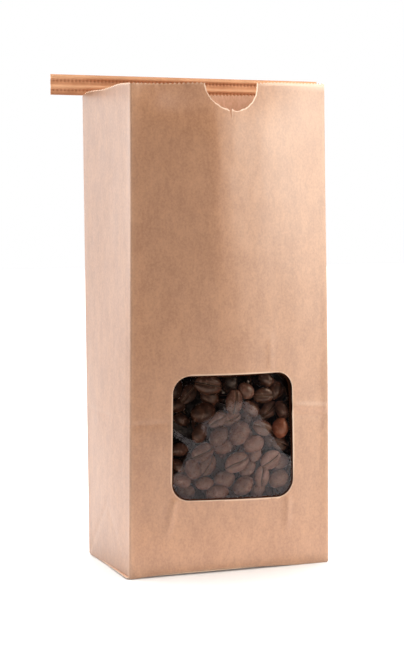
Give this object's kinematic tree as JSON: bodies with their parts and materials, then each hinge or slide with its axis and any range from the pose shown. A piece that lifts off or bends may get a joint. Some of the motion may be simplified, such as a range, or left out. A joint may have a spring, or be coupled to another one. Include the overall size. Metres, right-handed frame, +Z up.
{
  "type": "kraft coffee bag",
  "caption": "Open block-bottom kraft paper bag with pinked rim, thumb notch, clear window and bendable tie, holding roasted coffee beans.",
  "frame": {"origin": "on the ground, under the middle of the bag's base", "axes": "+Z up, -Y is the front panel with the window, +X to the viewer's right when facing the window"},
  "size_m": [0.1502, 0.08, 0.2512],
  "materials": {
    "kraft_paper": "matt unbleached kraft paper with faint fibre streaks",
    "clear_film": "clear glossy film, slightly wrinkled",
    "copper_tie": "satin copper-coloured plastic over two wires, crimped in rows",
    "roasted_beans": "semi-gloss dark roasted coffee beans"
  },
  "bodies": {
    "root": {"paper_bag": "kraft_paper", "window_film": "clear_film", "tin_tie": "copper_tie", "coffee_beans": "roasted_beans"}
  },
  "joints": []
}
